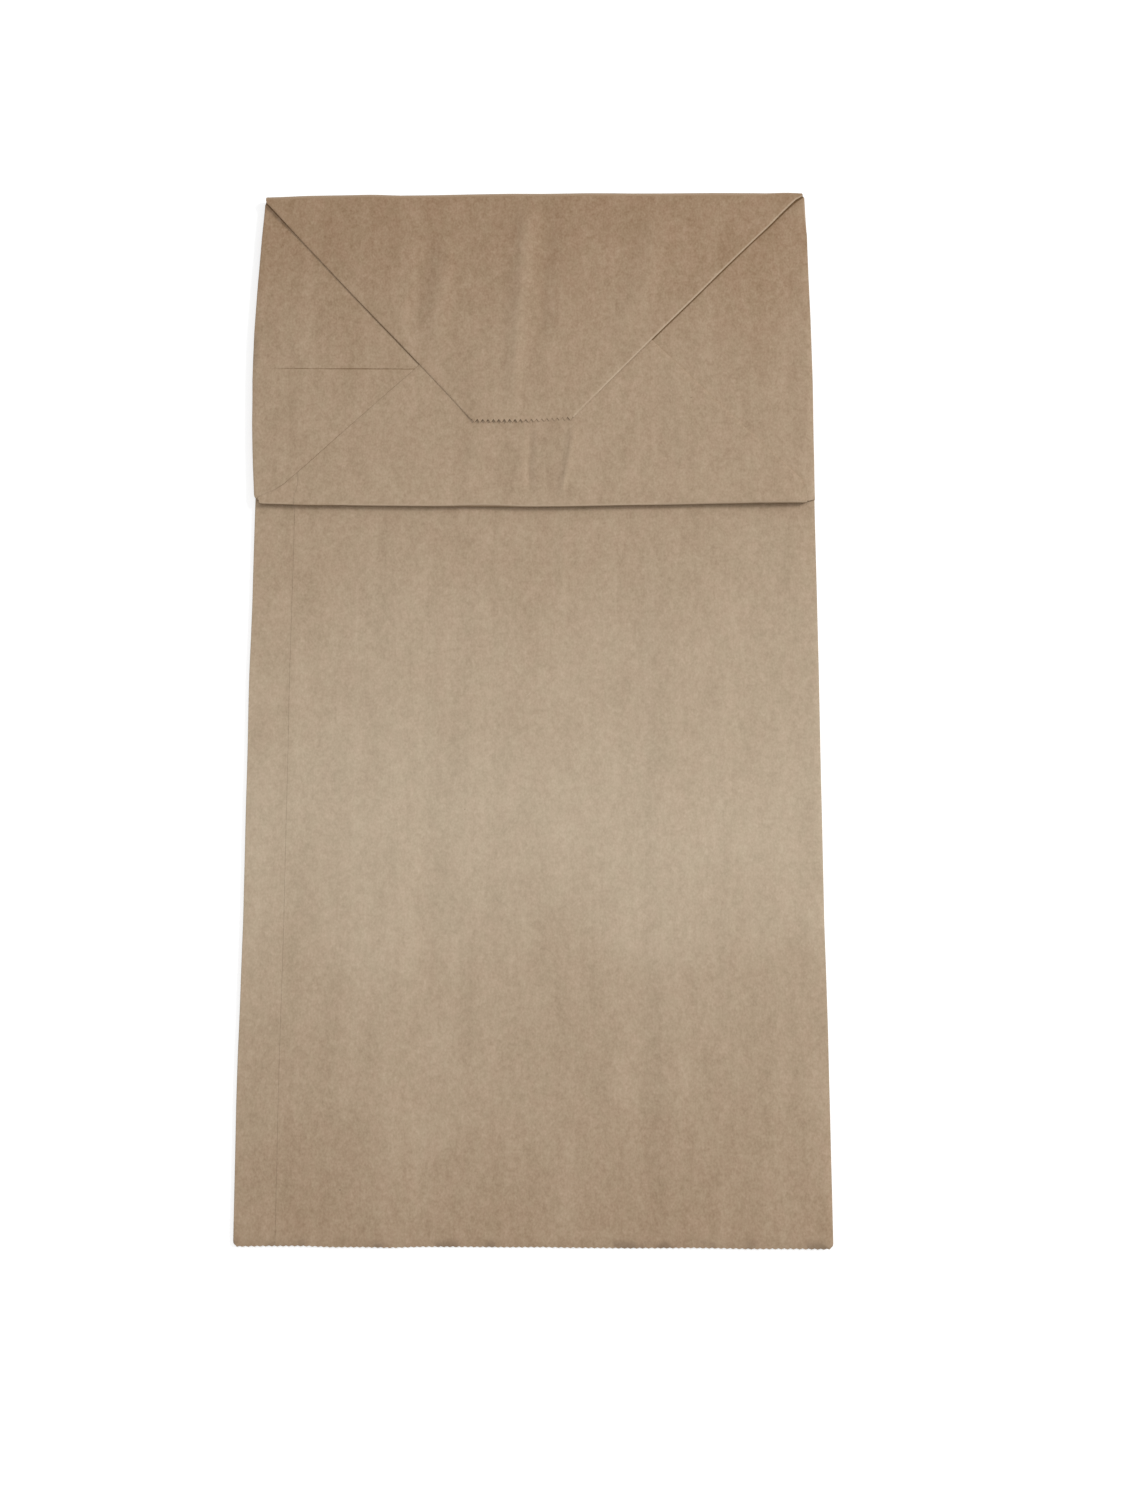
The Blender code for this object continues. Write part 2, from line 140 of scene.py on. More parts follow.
# How far each edge of the real sheet strays from straight: (place along the edge, shift)
LEFT_STRAY = [(-224, 0.9), (-200, 0.6), (-170, 0.35), (-150, 0.4), (-120, 0.65), (-95, 0.85), (-70, 0.7),
              (-40, 0.5), (-15, 0.3), (10, 0.15), (40, 0.4), (80, 0.4), (110, 0.55), (130, 0.75), (150, 0.7),
              (196, 0.8), (205, 0.75), (213, 0.9), (221, 1.0), (225, 1.2)]
RIGHT_STRAY = [(-224, 0.0), (-140, 0.1), (-95, -0.15), (-50, 0.0), (0, 0.2), (40, 0.35), (80, 0.4),
               (110, 0.5), (135, 0.65), (165, 0.5), (185, 0.1), (196, -0.1),
               (205, -0.15), (213, -0.5), (221, -0.6), (225, -1.0)]
TOP_STRAY = [(-118, -1.0), (-112, -0.85), (-100, -0.4), (-80, -0.2), (-70, -0.1), (-58, -0.65), (-45, -0.6),
             (-25, -0.35), (-8, -0.2), (5, -0.35), (25, -0.2), (45, -0.5), (80, -0.6), (100, -0.85),
             (110, -1.25), (121, -1.7)]
MOUTH_STRAY = [(-118, 0.6), (-104, 0.85), (-90, 0.95), (-78, 0.5), (-66, 0.6), (-55, 0.4), (-42, 0.75),
               (-10, 0.6), (6, 0.75), (17, 0.55), (40, 0.35), (52, 0.5), (65, 0.7), (77, 0.6), (89, 0.35),
               (101, 0.45), (121, 0.4)]
STRAY_REACH = 40.0

# Soft dents and ridges pressed into the outer paper: start, end, half width, height
# The broad ones of the bag bottom
FLAP_RIDGES = [
    ((-1.0, 224.0), (-8.0, 122.0), 5.0, 0.80),
    ((9.0, 224.0), (4.5, 150.0), 6.0, -0.70),
    ((-43.0, 208.0), (-52.0, 156.0), 6.0, -0.70),
    ((-36.0, 206.0), (-42.0, 150.0), 5.0, 0.60),
    ((60.0, 215.0), (35.0, 150.0), 9.0, 0.50),
    ((-20.0, 116.0), (-28.0, 86.0), 6.0, 0.30),
    ((60.0, 150.0), (72.0, 90.0), 8.0, 0.25),
]
# The narrow ones of the bag bottom, which need cuts of their own
NARROW_RIDGES = [
    ((20.5, 119.0), (13.0, 84.0), 2.4, 0.65),
    ((0.8, 118.0), (0.0, 84.0), 3.0, -0.60),
]
# Those of the front below it
BODY_RIDGES = [
    ((15.5, 76.0), (13.0, 35.0), 4.0, 0.30),
    ((-47.0, 70.0), (-46.0, -190.0), 3.0, 0.16),
    ((52.0, 70.0), (54.0, -200.0), 3.5, 0.14),
    ((-22.0, 60.0), (-26.0, -60.0), 7.0, 0.26),
    ((80.0, 20.0), (84.0, -150.0), 8.0, 0.26),
]
# Lines pressed into the left end
PRESSED_LINES = [
    ((-105.4, 160.2), (-65.0, 163.2), 0.9, -0.22),
    ((-103.4, 159.0), (-103.1, 145.0), 0.9, 0.16),
]
# The gusset's crease, pressed through the left end
LEFT_CREASE = ((-119.5, 144.0), (-50.5, 143.4), 0.35, -0.25)

# The painted sheen and light level along the bag, from the mouth to the top
PAINTED_SHEEN_ALONG = [(-226, 0.27), (-188, 0.38), (-155, 0.54), (-122, 0.64), (-89, 0.88), (-56, 0.98), (6, 0.76),
              (75, 0.46), (120, 0.38), (222, 0.0)]
PAINTED_SHEEN_SPAN = 460.0
# What that painted sheen adds to the colour
SHEEN = (0.155, 0.165, 0.139, 1)
# How far apart two plies are in the pattern of the paper
PLY_SHIFT = 0.037
# The paper's two base colours, those of what lies in it and on it, and those of the rubbed folds with their
# painted highlight and of the painted shade lines
PINK_KRAFT = (0.329, 0.2145, 0.1335, 1)
GREEN_KRAFT = (0.320, 0.2165, 0.1320, 1)
BARK_SPECK = (0.10, 0.07, 0.045, 1)
PALE_FIBRE = (0.62, 0.52, 0.40, 1)
DARK_FIBRE = (0.20, 0.14, 0.09, 1)
MOUTH_SMUDGE = (0.17, 0.115, 0.075, 1)
RUBBED_FOLD_AND_HIGHLIGHT = (0.56, 0.45, 0.33, 1)
PAINTED_SHADE_COLOUR = (0.12, 0.058, 0.014, 1)
# How strongly each shows at most
SPECKS_SHOW = 0.75
FIBRES_SHOW = 0.35
RUBBED_AND_HIGHLIGHT_SHOWS = 0.38
PAINTED_SHADE_SHOWS = 0.70
# How dark and light the pulp's patterns are, from the broadest to the finest
BROAD, STREAKS, BLOTCH, GRAIN, DUST = 0.20, 0.28, 0.29, 0.66, 0.56
# Red and blue follow green by these powers
RED_POWER, BLUE_POWER = 0.78, 1.3
# How each kind of fold is painted: above 0 it is rubbed pale, on the right slanting fold and the lower
# fold's lip partly as a painted highlight; below 0 it is a painted shade line
WORN_FOLD, RIGHT_MITRE_WEAR_AND_HIGHLIGHT, LIP_WEAR_AND_HIGHLIGHT = 0.8, 1.0, 0.9
PAINTED_SHADE_LINE, PAINTED_SHADE_WALL = -1.0, -0.5
# How much of a ridge's height shows as a painted highlight, and of a dent's as painted shade
RIDGE_HIGHLIGHT, DENT_SHADE = 0.30, 0.13
ROUGHNESS = 0.6
SPECULAR = 0.2
BUMP_STRENGTH = 0.35
BUMP_HEIGHT = 0.12 * MM

FLOOR_GREY = (0.75, 0.75, 0.75, 1)
FLOOR_GLOW = 0.45
WORLD_LIGHT = 0.56
# The two soft boxes: place, width, depth, power
OVERHEAD = ((-0.05, 0.0, 0.9), 0.9, 0.22, 1.5)
WINDOW = ((2.35, 0.70, 1.55), 0.7, 0.7, 46.0)

CAMERA_AT = (21.4 * MM, -95.2 * MM, 540.9 * MM)
CAMERA_TILT = (7.531, 0.822, -0.064)
FOCAL_PX = 1300.0
LONG_SIDE_PX = 1500.0
SENSOR = 36.0


def select_only(piece):
    bpy.ops.object.select_all(action="DESELECT")
    piece.select_set(True)
    bpy.context.view_layer.objects.active = piece


def sheet_from_part(node, name):
    """A copy of the folded sheet, merged, with its flat faces joined up."""
    piece = bpy.data.objects.new(name, node.data.copy())
    bpy.context.scene.collection.objects.link(piece)
    select_only(piece)
    if piece.data.has_custom_normals:
        bpy.ops.mesh.customdata_custom_splitnormals_clear()
    bpy.ops.object.mode_set(mode="EDIT")
    bpy.ops.mesh.select_all(action="SELECT")
    bpy.ops.mesh.remove_doubles(threshold=WELD)
    bpy.ops.mesh.dissolve_limited(angle_limit=FLAT_ANGLE)
    bpy.ops.object.mode_set(mode="OBJECT")
    return piece


def cut_sheet(at, across):
    """One straight cut through the plies that aren't hidden, so that they can bend there."""
    bpy.ops.mesh.select_all(action="SELECT")
    bpy.ops.mesh.bisect(plane_co=[c * MM for c in at], plane_no=across)


def cut_into_squares(size):
    low, high = (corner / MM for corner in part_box("paper_bag"))
    for axis in (0, 1):
        across = [1.0 if i == axis else 0.0 for i in range(3)]
        count = int((high[axis] - low[axis]) / size)
        for step in range(1, count + 1):
            at = [0.0, 0.0, 0.0]
            at[axis] = low[axis] + step * (high[axis] - low[axis]) / (count + 1)
            cut_sheet(at, across)


def cut_beside(start, end, shifts):
    """Cuts along a line, each shifted to its left by one of these distances."""
    along = Vector(end) - Vector(start)
    across = Vector((-along.y, along.x)).normalized()
    for shift in shifts:
        at = Vector(start) + across * shift
        cut_sheet((at.x, at.y, 0.0), (across.x, across.y, 0.0))


def show_only(piece, chosen):
    """Hides every face but the chosen ones, and enters edit mode."""
    piece.data.polygons.foreach_set("select", chosen)
    bpy.ops.object.mode_set(mode="EDIT")
    bpy.ops.mesh.select_mode(type="FACE")
    bpy.ops.mesh.hide(unselected=True)


def show_all():
    bpy.ops.mesh.reveal(select=False)
    bpy.ops.object.mode_set(mode="OBJECT")


def face_centres(piece):
    flat = np.zeros(len(piece.data.polygons) * 3)
    piece.data.polygons.foreach_get("center", flat)
    return (flat.reshape(-1, 3) / MM).T


def cut_for_bending(piece):
    """Coarse squares everywhere, finer ones where the sheet shows, and finest beside the folds."""
    select_only(piece)
    bpy.ops.object.mode_set(mode="EDIT")
    cut_into_squares(INNER_GRID)
    bpy.ops.object.mode_set(mode="OBJECT")
    y, z = face_centres(piece)[1:]
    on_front = (z > FRONT_HEIGHTS[0]) & (z < FRONT_HEIGHTS[1]) & (y < LOWER_FOLD + 3.0)
    show_only(piece, (z > BASE_HEIGHT) | on_front)
    cut_into_squares(GRID)
    show_all()
    z = face_centres(piece)[2]
    show_only(piece, z > BASE_HEIGHT)
    cut_beside(*LEFT_MITRE, LEFT_MITRE_CUTS)
    cut_beside(*RIGHT_MITRE, RIGHT_MITRE_CUTS)
    for y_cut in LOWER_FOLD_CUTS:
        cut_sheet((0.0, y_cut, 0.0), (0.0, 1.0, 0.0))
    for start, end, half, height in PRESSED_LINES + [LEFT_CREASE]:
        cut_beside(start, end, (-half, 0.0, half))
    for start, end, half, height in NARROW_RIDGES:
        cut_beside(start, end, (-0.5 * half, 0.0, 0.5 * half))
    show_all()


def ease(t):
    """0 below 0 and 1 above 1, with a smooth slope between them."""
    t = np.clip(t, 0.0, 1.0)
    return t * t * (3.0 - 2.0 * t)


def ramp(value, start, end):
    """Eases from 0 at the start to 1 at the end."""
    return ease((value - start) / (end - start))


def hump(value, middle, half):
    """1 at the middle, easing to 0 a half width away."""
    return 1.0 - ease(np.abs(value - middle) / half)


def across_bag(x, left, right):
    """Eases from the left value to the right one; each is given as (place, value)."""
    return right[1] + (left[1] - right[1]) * (1.0 - ramp(x, left[0], right[0]))


def stray(knots, along):
    """The shift at a place, straight from knot to knot."""
    places, shifts = zip(*knots)
    return np.interp(along, places, shifts)


def waves(x, y, size, stretch, seed):
    """Smooth uneven waves between about -1 and 1."""
    points = zip(x / size, y / (size * stretch))
    return np.array([noise.noise(Vector((u, v, seed))) for u, v in points])


def ridge(x, y, start, end, half, height):
    """The height that one soft ridge adds, fading towards its two ends."""
    off, along = beside(x, y, start, end)
    painted_sheen = ramp(along, 0.0, 0.2) * (1.0 - ramp(along, 0.8, 1.0))
    return height * painted_sheen * hump(off, 0.0, half)


def square_corners(x, y, level):
    """Draws the sheet out into the corners that the folds leave cut off."""
    above = np.clip((y - (TOP - TOP_CORNER_CUT)) / TOP_CORNER_CUT, 0.0, 1.0)
    from_left, from_right = x - LEFT_SIDE, RIGHT_SIDE - x
    pull = above * (TOP_CORNER_CUT - CORNER_OPEN)
    pull_left = pull * (1.0 - ramp(from_left, TOP_CORNER_CUT, CORNER_REACH))
    pull_right = pull * (1.0 - ramp(from_right, TOP_CORNER_CUT, CORNER_REACH))
    raised = TOP_END_RAISED * ramp(y, TOP_END_FROM, TOP - 1.0)
    raised = raised * (1.0 - np.clip((y - TOP + 1.0) / 3.3, 0.0, 1.0))
    raised = raised * (1.0 - ramp(from_right, 2.0, TOP_END_REACH))
    in_base = np.clip(level - 3.5, 0.0, 1.0)
    into_corner = np.clip(1.0 - from_right / LOWER_CORNER_CUT, 0.0, 1.0)
    near_low = 1.0 - ramp(y, LOWER_FOLD + TOP_CORNER_CUT, LOWER_FOLD + 12.0)
    beside_corner = 1.0 - ramp(from_right, 2.0, LOWER_END_REACH)
    drop = LOWER_CORNER_DROP * into_corner + LOWER_END_DROP * beside_corner
    return x - pull_left + pull_right, y + raised - in_base * near_low * drop


def slide_folds(x, y, level):
    """Bends two of the slanting folds off their straight lines, in the plane of the sheet."""
    off, share = beside(x, y, *RIGHT_MITRE)
    by = stray(RIGHT_MITRE_BEND, share) * (1.0 - ramp(np.abs(off), *BEND_REACH))
    by = by * np.clip(level - BASE_PLY + 1.0, 0.0, 1.0) * DIAGONAL
    x, y = x - by, y + by
    off, share = beside(x, y, *LOWER_MITRE)
    by = stray(LOWER_MITRE_BEND, share) * (1.0 - ramp(np.abs(off), *BEND_REACH))
    by = by * np.clip(level - BASE_PLY, 0.0, 1.0) * (level < TOP_CORNER_PLY - 0.5)
    by = by * ramp(y, LOWER_FOLD + 0.5, LOWER_FOLD + 9.0) * DIAGONAL
    return x + by, y - by


def beside(x, y, start, end):
    """How far a point lies to the left of a line, and its place along it as a share."""
    ax, ay = start
    bx, by = end
    length = math.hypot(bx - ax, by - ay)
    ux, uy = (bx - ax) / length, (by - ay) / length
    return (x - ax) * -uy + (y - ay) * ux, ((x - ax) * ux + (y - ay) * uy) / length


def puff_mitre(x, y, level, between, line, side, puff):
    """Rounds out one slanting fold; side is 1 where the flap lies to the line's left."""
    swell, lift, belly = puff
    off, share = beside(x, y, *line)
    inward = off * side
    (ax, ay), (bx, by) = line
    length = math.hypot(bx - ax, by - ay)
    out_x, out_y = (by - ay) / length * side, -(bx - ax) / length * side
    on_line = ramp(share, -0.02, 0.05) * (1.0 - ramp(share, 0.97, 1.03))
    round_fold = 2.0 * np.sqrt(between * (1.0 - between)) * (level > TOP_CORNER_PLY)
    by_swell = swell * round_fold * on_line * (np.abs(inward) < 1.0)
    upper = np.clip(level - BASE_PLY - 1.5, 0.0, 1.0)
    raised = lift * (1.0 - ramp(inward, 0.5, 7.0)) * on_line * upper
    raised = raised + belly * hump(inward, 2.6, 2.6) * on_line * np.clip(level - TOP_CORNER_PLY, 0.0, 1.0)
    return out_x * by_swell, out_y * by_swell, raised


def teeth_lift(x, y, level):
    """The saw-toothed end of the top flap stands up a little, most at its left."""
    most = across_bag(x, *TEETH_LIFT) + RAISED_TOOTH * hump(x, RAISED_TOOTH_AT, RAISED_TOOTH_HALF)
    near_end = 1.0 - ramp(y, FLAP_END - 1.0, FLAP_END + 6.0)
    return most * near_end * np.clip(level - TOP_CORNER_PLY + 0.3, 0.0, 1.0)


def uneven_edges(x, y):
    """Moves the four outer edges a little off straight, in the plane of the sheet."""
    from_left = 1.0 - ramp(x, LEFT_SIDE, LEFT_SIDE + STRAY_REACH)
    from_right = ramp(x, RIGHT_SIDE - STRAY_REACH, RIGHT_SIDE)
    from_top = ramp(y, TOP - STRAY_REACH, TOP)
    from_mouth = 1.0 - ramp(y, MOUTH, MOUTH + STRAY_REACH)
    right_by = from_left * stray(LEFT_STRAY, y) + from_right * stray(RIGHT_STRAY, y)
    up_by = from_top * stray(TOP_STRAY, x) + from_mouth * stray(MOUTH_STRAY, x)
    return x + right_by, y + up_by


def press_base(x, y, z):
    """Presses the glued plies of the bag bottom together, and leaves its folds round."""
    level = (z - 0.5 * PAPER) / PITCH
    whole = np.floor(level)
    part = level - whole
    between = np.clip((part - PLY_EDGE) / (1.0 - 2.0 * PLY_EDGE), 0.0, 1.0)
    off_ply = np.where(part > 0.5, np.maximum(part - 1.0, -PLY_EDGE), np.minimum(part, PLY_EDGE))
    inside = (part > PLY_EDGE) & (part < 1.0 - PLY_EDGE)
    off_ply = np.where(inside, PLY_EDGE * (1.0 - 2.0 * between), off_ply)
    ply = level - off_ply
    near_fold = 1.0 - ramp(y, LOWER_FOLD + 2.0, LOWER_FOLD + 18.0)
    near_top = ramp(y, TOP - 22.0, TOP - 4.0)
    pressed = across_bag(x, *LOWER_PITCH)
    lower_pitch = pressed + (PITCH - pressed) * np.maximum(near_fold, 0.7 * near_top)
    near_end = 1.0 - ramp(y, FLAP_END + 1.0, FLAP_END + 26.0)
    loose = across_bag(x, *UPPER_PITCH)
    glued = across_bag(x, *FLAP_END_PITCH)
    upper_pitch = loose * (1.0 - near_end) + glued * near_end
    off_left = beside(x, y, *LEFT_MITRE)[0]
    beside_left = (1.0 - ramp(off_left, 1.0, 12.0)) * (off_left > -3.0)
    upper_pitch = upper_pitch * (1.0 - LEFT_MITRE_TIGHT * beside_left)
    upper_pitch = upper_pitch + (PITCH - upper_pitch) * near_top
    low = np.minimum(ply, BASE_PLY)
    middle = np.clip(ply, BASE_PLY, LOWER_FLAP_PLY) - BASE_PLY
    high = np.maximum(ply, LOWER_FLAP_PLY) - LOWER_FLAP_PLY
    local_pitch = np.where(ply < LOWER_FLAP_PLY + 0.5, lower_pitch, upper_pitch)
    local_pitch = np.where(ply < BASE_PLY + 0.5, PITCH, local_pitch)
    thin = np.minimum(1.0, 0.8 * local_pitch / PAPER)
    pressed_corner = 1.0 - ramp(RIGHT_SIDE - x, 2.2, 4.2)
    pressed_corner = pressed_corner * (1.0 - ramp(y, LOWER_FOLD + 4.0, LOWER_FOLD + 20.0))
    sunk = CORNER_PRESSED * pressed_corner * PITCH * np.clip(low - FRONT_PLY, 0.0, None)
    lifted = 0.5 * PAPER + PITCH * (low + thin * off_ply) + lower_pitch * middle + upper_pitch * high
    return lifted - sunk, between


def sink_front(x, y, z):
    """Lets the front rest on the back between the two gussets."""
    between = ramp(x, -56.0, -43.0) * (1.0 - ramp(x, 46.0, 59.0))
    along = ramp(y, MOUTH - 40.0, MOUTH + 60.0) * (1.0 - ramp(y, 40.0, 74.0))
    share = np.clip(z / (3.0 * PITCH), 0.0, 1.0)
    return z - FRONT_SINKS * between * along * share


def above_lower_fold(x, y):
    """How far a point lies up the bag from the bowed line of the lower fold."""
    return y - LOWER_FOLD + LOWER_FOLD_BOW * (1.0 - (x / RIGHT_SIDE) ** 2)


def fold_wear_and_painted_light(x, y, level, between):
    """How pale each fold is rubbed, partly as a painted highlight, and below 0 how dark its painted shade
    line is.
    """
    beside_seam = (x < SEAM[0]) | (x > SEAM[1])
    on_fold = (between > 0.05) & (between < 0.95) & (beside_seam | (y > TOP - 0.5))
    left_off, left_share = beside(x, y, *LEFT_MITRE)
    on_left_mitre = (level > TOP_CORNER_PLY) & (np.abs(left_off) < 1.5)
    wear_and_painted_light = np.where(on_fold & ~on_left_mitre, WORN_FOLD, 0.0)
    # The right slanting fold is rubbed pale, partly as a painted highlight; the left one lies in shade and
    # gets none
    right_off, right_share = beside(x, y, *RIGHT_MITRE)
    on_right_mitre = (level > TOP_CORNER_PLY + 0.4) & (np.abs(right_off) < 0.3)
    wear_and_painted_light = np.where(on_right_mitre, RIGHT_MITRE_WEAR_AND_HIGHLIGHT, wear_and_painted_light)
    # Painted shade lines on the bag bottom at the foot of each slanting fold of the top flap
    on_end = (level > BASE_PLY - 0.5) & (level < BASE_PLY + 0.5)
    at_foot = (right_off > -2.0) & (right_off < RIGHT_DARK_LINE[0] + 0.05)
    at_foot = at_foot & (right_share > 0.0) & (right_share < 1.0)
    wear_and_painted_light = np.where(on_end & at_foot, PAINTED_SHADE_LINE, wear_and_painted_light)
    at_foot = (left_off < 2.0) & (left_off > -LEFT_DARK_LINE[0] - 0.05)
    at_foot = at_foot & (left_share > 0.0) & (left_share < 1.0)
    wear_and_painted_light = np.where(on_end & at_foot, PAINTED_SHADE_LINE, wear_and_painted_light)
    # Painted shade on the lower fold's wall, and the lip above it rubbed pale, partly as a painted highlight
    above_low = above_lower_fold(x, y)
    on_wall = (level > FRONT_PLY + 1.3) & (level < LOWER_FLAP_PLY - 1.2)
    on_wall = on_wall & (above_low > -0.5) & (above_low < 0.8)
    wear_and_painted_light = np.where(on_wall, PAINTED_SHADE_WALL, wear_and_painted_light)
    lip_wear_and_highlight = LIP_WEAR_AND_HIGHLIGHT * (1.0 - ramp(above_low, 0.2, 1.0))
    on_lip = (level > LOWER_FLAP_PLY - 1.2) & (level < LOWER_FLAP_PLY + 0.5)
    on_lip = on_lip & (above_low > -0.2) & (above_low < 1.2)
    wear_and_painted_light = np.where(on_lip & beside_seam, lip_wear_and_highlight, wear_and_painted_light)
    # A painted shade line along the lower flap's slanting fold, and another along the gusset's crease
    lower_off, lower_share = beside(x, y, *LOWER_MITRE)
    on_lower_mitre = (level > BASE_PLY + 0.7) & (level < BASE_PLY + 1.9) & (lower_share > 0.04)
    wear_and_painted_light = np.where(on_lower_mitre & (np.abs(lower_off) < 1.1), PAINTED_SHADE_LINE, wear_and_painted_light)
    crease_off, crease_share = beside(x, y, *LEFT_CREASE[:2])
    on_crease = (level > BASE_PLY - 0.3) & (level < BASE_PLY + 0.3) & (np.abs(crease_off) < 0.1)
    on_crease = on_crease & (crease_share > 0.02) & (crease_share < 1.0)
    return np.where(on_crease, PAINTED_SHADE_LINE * ramp(crease_share, -0.05, 0.45), wear_and_painted_light)


def settle(piece):
    """Gives the flat folded sheet the small unevenness of real paper."""
    mesh = piece.data
    flat = np.zeros(len(mesh.vertices) * 3)
    mesh.vertices.foreach_get("co", flat)
    x, y, z = (flat.reshape(-1, 3) / MM).T
    on_body = np.clip(z / (3.0 * PITCH), 0.0, 1.0)
    on_base = ramp(z, *BASE_FADE)
    level = (z - 0.5 * PAPER) / PITCH
    lifted, between = press_base(x, y, z)
    lifted = sink_front(x, y, lifted)
    squared = 1.0 - ramp(above_lower_fold(x, y), *WALL_REACH)
    squared = squared * ramp(level, FRONT_PLY + 1.2, FRONT_PLY + 2.2)
    below_flap = np.clip(LOWER_FLAP_PLY - level, 0.0, WALL_PLIES)
    lifted = lifted + WALL_SHARE * PITCH * squared * below_flap
    lip = LIP + RIGHT_LIP * hump(x, RIGHT_LIP_AT, RIGHT_LIP_HALF)
    lip = lip * (1.0 - ramp(y, LOWER_FOLD - 2.0, LOWER_FOLD + 14.0))
    lifted = lifted + lip * ramp(level, *LIP_LEVELS)
    crests = 0.0
    for start, end, half, height in FLAP_RIDGES + NARROW_RIDGES:
        crests = crests + on_base * ridge(x, y, start, end, half, height)
    lifted = lifted + crests
    for start, end, half, height in PRESSED_LINES + [LEFT_CREASE]:
        lifted = lifted + on_base * ridge(x, y, start, end, half, height)
    for start, end, half, height in BODY_RIDGES:
        lifted = lifted + on_body * (1.0 - on_base) * ridge(x, y, start, end, half, height)
    left_x, left_y, left_up = puff_mitre(x, y, level, between, LEFT_MITRE, 1, LEFT_PUFF)
    right_x, right_y, right_up = puff_mitre(x, y, level, between, RIGHT_MITRE, -1, RIGHT_PUFF)
    lifted = lifted + teeth_lift(x, y, level)
    lifted = lifted + left_up + right_up
    share = lifted / (lifted + 1.0)
    for size, stretch, seed, height in SHEET_WAVES:
        lifted = lifted + share * height * waves(x, y, size, stretch, seed)
    # Rubbed folds and painted highlights above 0, painted shade lines below 0; elsewhere a painted highlight
    # on ridges and painted shade in dents
    wear_and_painted_light = fold_wear_and_painted_light(x, y, level, between)
    # A painted highlight on ridges and painted shade in dents, by their height
    crest_highlight_and_dent_shade = np.where(crests > 0.0, RIDGE_HIGHLIGHT, DENT_SHADE) * crests
    wear_and_painted_light = np.where(wear_and_painted_light == 0.0, crest_highlight_and_dent_shade, wear_and_painted_light)
    x, y = x + left_x + right_x, y + left_y + right_y
    x, y = slide_folds(x, y, level)
    near_low = (1.0 - ramp(y, LOWER_FOLD + 2.0, LOWER_FOLD + 14.0)) * (level > FRONT_PLY + 0.5)
    y = y + near_low * stray(LOWER_FOLD_STRAY, x)
    x, y = square_corners(x, y, level)
    x, y = uneven_edges(x, y)
    x = x + SIDEWAYS_WAVES * waves(x, y, SIDEWAYS_SIZE, 1.0, 21.3)
    y = y + SIDEWAYS_WAVES * waves(x, y, SIDEWAYS_SIZE, 1.0, 33.9)
    mesh.vertices.foreach_set("co", (np.stack([x, y, lifted], 1) * MM).ravel())
    mesh.update()
    ply = np.round(level - 0.5 + np.clip((between - 0.5) * 4.0 + 0.5, 0.0, 1.0))
    for name, values in (("fold_wear_and_painted_light", wear_and_painted_light), ("ply", ply)):
        layer = mesh.attributes.new(name, "FLOAT", "POINT")
        layer.data.foreach_set("value", values.astype(np.float32))


class Paint:
    """The nodes of one material, added one after another."""

    def __init__(self, name):
        self.material = bpy.data.materials.new(name)
        self.material.use_nodes = True
        self.nodes = self.material.node_tree.nodes
        self.links = self.material.node_tree.links

    def put(self, socket, value):
        """Links the socket to another one, or sets its value."""
        if isinstance(value, bpy.types.NodeSocket):
            self.links.new(value, socket)
        else:
            socket.default_value = value

    def math(self, operation, first, second=0.0, third=0.0):
        node = self.nodes.new("ShaderNodeMath")
        node.operation = operation
        for socket, value in zip(node.inputs, (first, second, third)):
            self.put(socket, value)
        return node.outputs[0]

    def vector(self, operation, first, second=(0.0, 0.0, 0.0)):
        node = self.nodes.new("ShaderNodeVectorMath")
        node.operation = operation
        self.put(node.inputs[0], first)
        self.put(node.inputs[1], second)
        return node.outputs[0]

    def stretched(self, place, scale, shift=(0.0, 0.0, 0.0)):
        node = self.nodes.new("ShaderNodeMapping")
        self.put(node.inputs["Vector"], place)
        node.inputs["Scale"].default_value = scale
        node.inputs["Location"].default_value = shift
        return node.outputs[0]

    def noise(self, place, size, detail=2.0, roughness=0.5):
        """Cloudy noise of about the given size in millimetres, from -0.5 to 0.5."""
        node = self.nodes.new("ShaderNodeTexNoise")
        self.put(node.inputs["Vector"], place)
        node.inputs["Scale"].default_value = 1000.0 / size
        node.inputs["Detail"].default_value = detail
        node.inputs["Roughness"].default_value = roughness
        return self.math("SUBTRACT", node.outputs["Fac"], 0.5)

    def cells(self, place, size):
        node = self.nodes.new("ShaderNodeTexVoronoi")
        self.put(node.inputs["Vector"], place)
        node.inputs["Scale"].default_value = 1000.0 / size
        return node

    def step(self, value, start, end):
        node = self.nodes.new("ShaderNodeMapRange")
        node.interpolation_type = "SMOOTHSTEP"
        self.put(node.inputs["Value"], value)
        node.inputs["From Min"].default_value = start
        node.inputs["From Max"].default_value = end
        return node.outputs[0]

    def mix(self, share, first, second, blend="MIX"):
        node = self.nodes.new("ShaderNodeMix")
        node.data_type = "RGBA"
        node.blend_type = blend
        self.put(node.inputs["Factor"], share)
        self.put(node.inputs[6], first)
        self.put(node.inputs[7], second)
        return node.outputs[2]


def set_stops(ramp_colours, stops):
    """Grey stops of the painted sheen along the sheet: (place in millimetres, how strong)."""
    ramp_colours.interpolation = "EASE"
    while len(ramp_colours.elements) < len(stops):
        ramp_colours.elements.new(0.5)
    for element, (place, pale) in zip(ramp_colours.elements, stops):
        element.position = place / PAINTED_SHEEN_SPAN + 0.5
        element.color = (pale, pale, pale, 1.0)


def add_up(paint, parts):
    """The sum of several patterns, each with its own weight."""
    total = 1.0
    for pattern, weight in parts:
        total = paint.math("MULTIPLY_ADD", pattern, weight, total)
    return total


